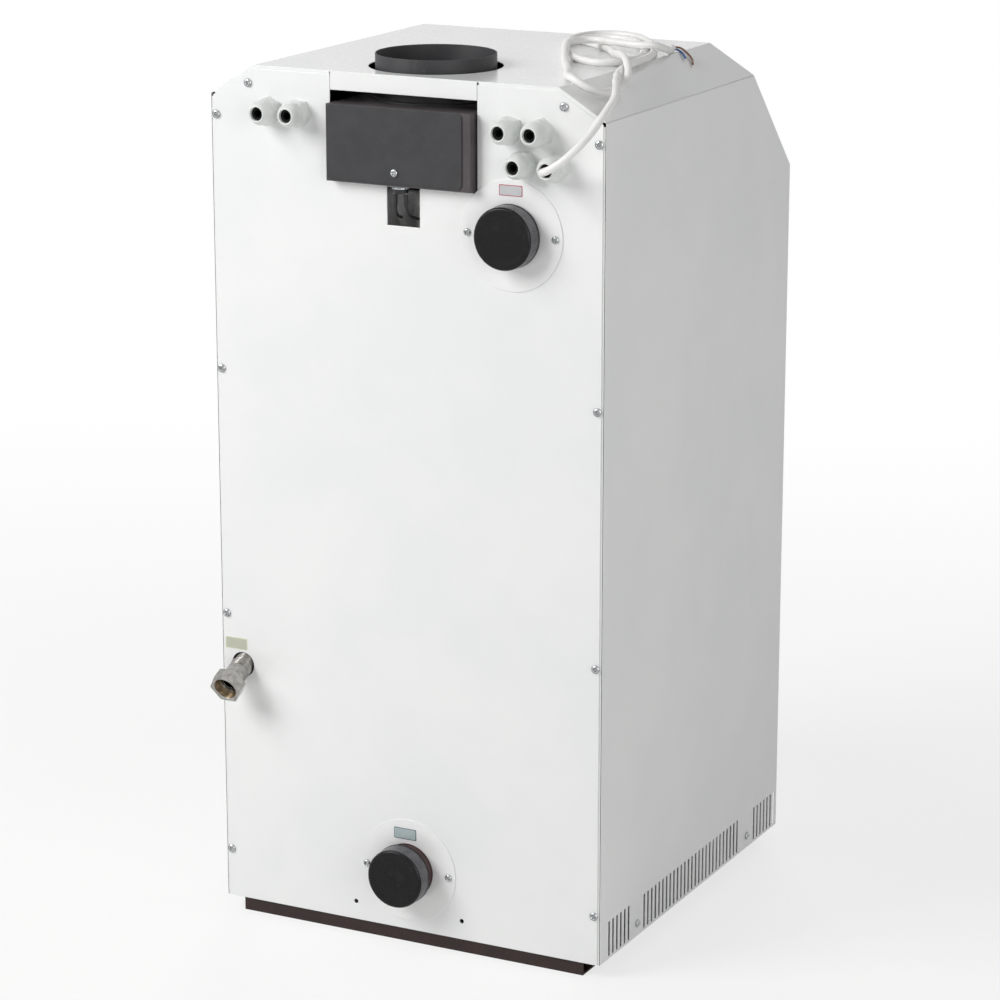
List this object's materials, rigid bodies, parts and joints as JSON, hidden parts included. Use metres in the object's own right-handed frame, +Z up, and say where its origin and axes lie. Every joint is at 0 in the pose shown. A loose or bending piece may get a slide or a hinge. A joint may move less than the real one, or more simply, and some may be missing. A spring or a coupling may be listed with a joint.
{
  "type": "floor-standing gas boiler",
  "caption": "Floor-standing gas boiler with atmospheric burner, shown from behind, with flue collar, capped water pipes, cable glands, gas hose and mains cord.",
  "frame": {"origin": "on the floor under the middle of the boiler's box", "axes": "+Z up, +Y towards the rear with the pipes and flue, +X to the left as seen from behind"},
  "size_m": [0.4788, 0.5749, 0.985],
  "materials": {
    "white_enamel": "gloss powder coat",
    "base_paint": "satin paint",
    "heat_paint": "matt heat-proof paint",
    "dark_trim": "satin powder coat",
    "zinc": "bright zinc",
    "bright_chrome": "polished",
    "bare_steel": "bare",
    "primer": "matt red-brown primer",
    "burner_steel": "stainless",
    "black_plastic": "satin",
    "gland_plastic": "satin",
    "rosette_plastic": "gloss",
    "button_plastic": "gloss",
    "window_plastic": "smoked",
    "box_plastic": "satin",
    "board": "solder mask",
    "seal_rubber": "matt",
    "cord_pvc": "satin",
    "core_pvc": "satin",
    "brass": "machined",
    "ceramic": "glazed ceramic",
    "sight_glass": "clear",
    "wool": "foil-faced mineral wool",
    "valve_alloy": "die cast"
  },
  "bodies": {
    "casing": {"base_frame": "base_paint", "floor_pan": "white_enamel", "side_panel_left": "white_enamel", "side_panel_right": "white_enamel", "rear_panel": "white_enamel", "top_panel": "white_enamel", "front_plinth": "white_enamel", "door_catch": "black_plastic", "hinge_brackets": "bare_steel", "hinge_pins": "zinc", "control_fascia": "dark_trim", "display_window": "window_plastic", "control_box": "box_plastic", "control_board": "board", "casing_screws": "zinc", "hood_body": "heat_paint", "hood_cover": "heat_paint", "flue_collar": "heat_paint", "smoke_collector": "heat_paint", "draught_sensor": "zinc", "sensor_bracket": "bare_steel", "sensor_wires": "black_plastic", "water_pipes": "primer", "pipe_rosettes": "rosette_plastic", "gland_bodies": "gland_plastic", "gland_nuts": "gland_plastic", "gland_seals": "seal_rubber", "gland_locknuts": "gland_plastic", "gas_elbow": "bare_steel", "gas_hose": "bright_chrome", "gas_ferrule": "bright_chrome", "gas_union_nut": "bright_chrome", "gas_pipe": "bare_steel", "jacket_shell": "bare_steel", "firebox": "bare_steel", "jacket_frame": "bare_steel", "smoke_tubes": "bare_steel", "turbulators": "burner_steel", "insulation": "wool", "burner_tray": "bare_steel", "burner_tubes": "burner_steel", "gas_manifold": "bare_steel", "injectors": "brass", "gas_valve": "valve_alloy", "ignition_electrodes": "ceramic", "sight_glass": "sight_glass", "mains_cord": "cord_pvc", "cord_cores": "core_pvc"},
    "door": {"front_door": "white_enamel", "door_handle": "heat_paint"},
    "knob": {"thermostat_knob": "black_plastic"},
    "rocker": {"rocker_switch": "black_plastic"},
    "minus_button": {"button_minus": "button_plastic"},
    "plus_button": {"button_plus": "button_plastic"},
    "mode_button": {"button_mode": "button_plastic"},
    "supply_cap_body": {"supply_cap": "black_plastic"},
    "return_cap_body": {"return_cap": "black_plastic"},
    "gas_knob": {"valve_knob": "black_plastic"},
    "shutter": {"sight_shutter": "bare_steel"}
  },
  "joints": [
    {"name": "door_hinge", "type": "hinge", "parent": "casing", "child": "door", "pos_m": [-0.2223, -0.24882, 0.446], "axis": [0, 0, -1], "range_deg": [0, 95]},
    {"name": "thermostat_turn", "type": "hinge", "parent": "casing", "child": "knob", "pos_m": [-0.15, -0.20307, 0.87635], "axis": [0, 0.7233, -0.6905], "range_deg": [0, 270]},
    {"name": "rocker_tip", "type": "hinge", "parent": "casing", "child": "rocker", "pos_m": [0.15, -0.20307, 0.87635], "axis": [1, 0, 0], "range_deg": [0, 10]},
    {"name": "minus_press", "type": "slide", "parent": "casing", "child": "minus_button", "axis": [0, 0.7233, -0.6905], "range_m": [0, 0.0015], "stiffness_N_per_m": 400},
    {"name": "plus_press", "type": "slide", "parent": "casing", "child": "plus_button", "axis": [0, 0.7233, -0.6905], "range_m": [0, 0.0015], "stiffness_N_per_m": 400},
    {"name": "mode_press", "type": "slide", "parent": "casing", "child": "mode_button", "axis": [0, 0.7233, -0.6905], "range_m": [0, 0.0015], "stiffness_N_per_m": 400},
    {"name": "supply_cap_pull", "type": "slide", "parent": "casing", "child": "supply_cap_body", "axis": [0, 1, 0], "range_m": [0, 0.03]},
    {"name": "return_cap_pull", "type": "slide", "parent": "casing", "child": "return_cap_body", "axis": [0, 1, 0], "range_m": [0, 0.03]},
    {"name": "gas_knob_turn", "type": "hinge", "parent": "casing", "child": "gas_knob", "pos_m": [0.044, -0.21882, 0.078], "axis": [0, -1, 0], "range_deg": [0, 180]},
    {"name": "shutter_swing", "type": "hinge", "parent": "casing", "child": "shutter", "pos_m": [0.071, -0.14882, 0.231], "axis": [0, -1, 0], "range_deg": [0, 90]}
  ]
}
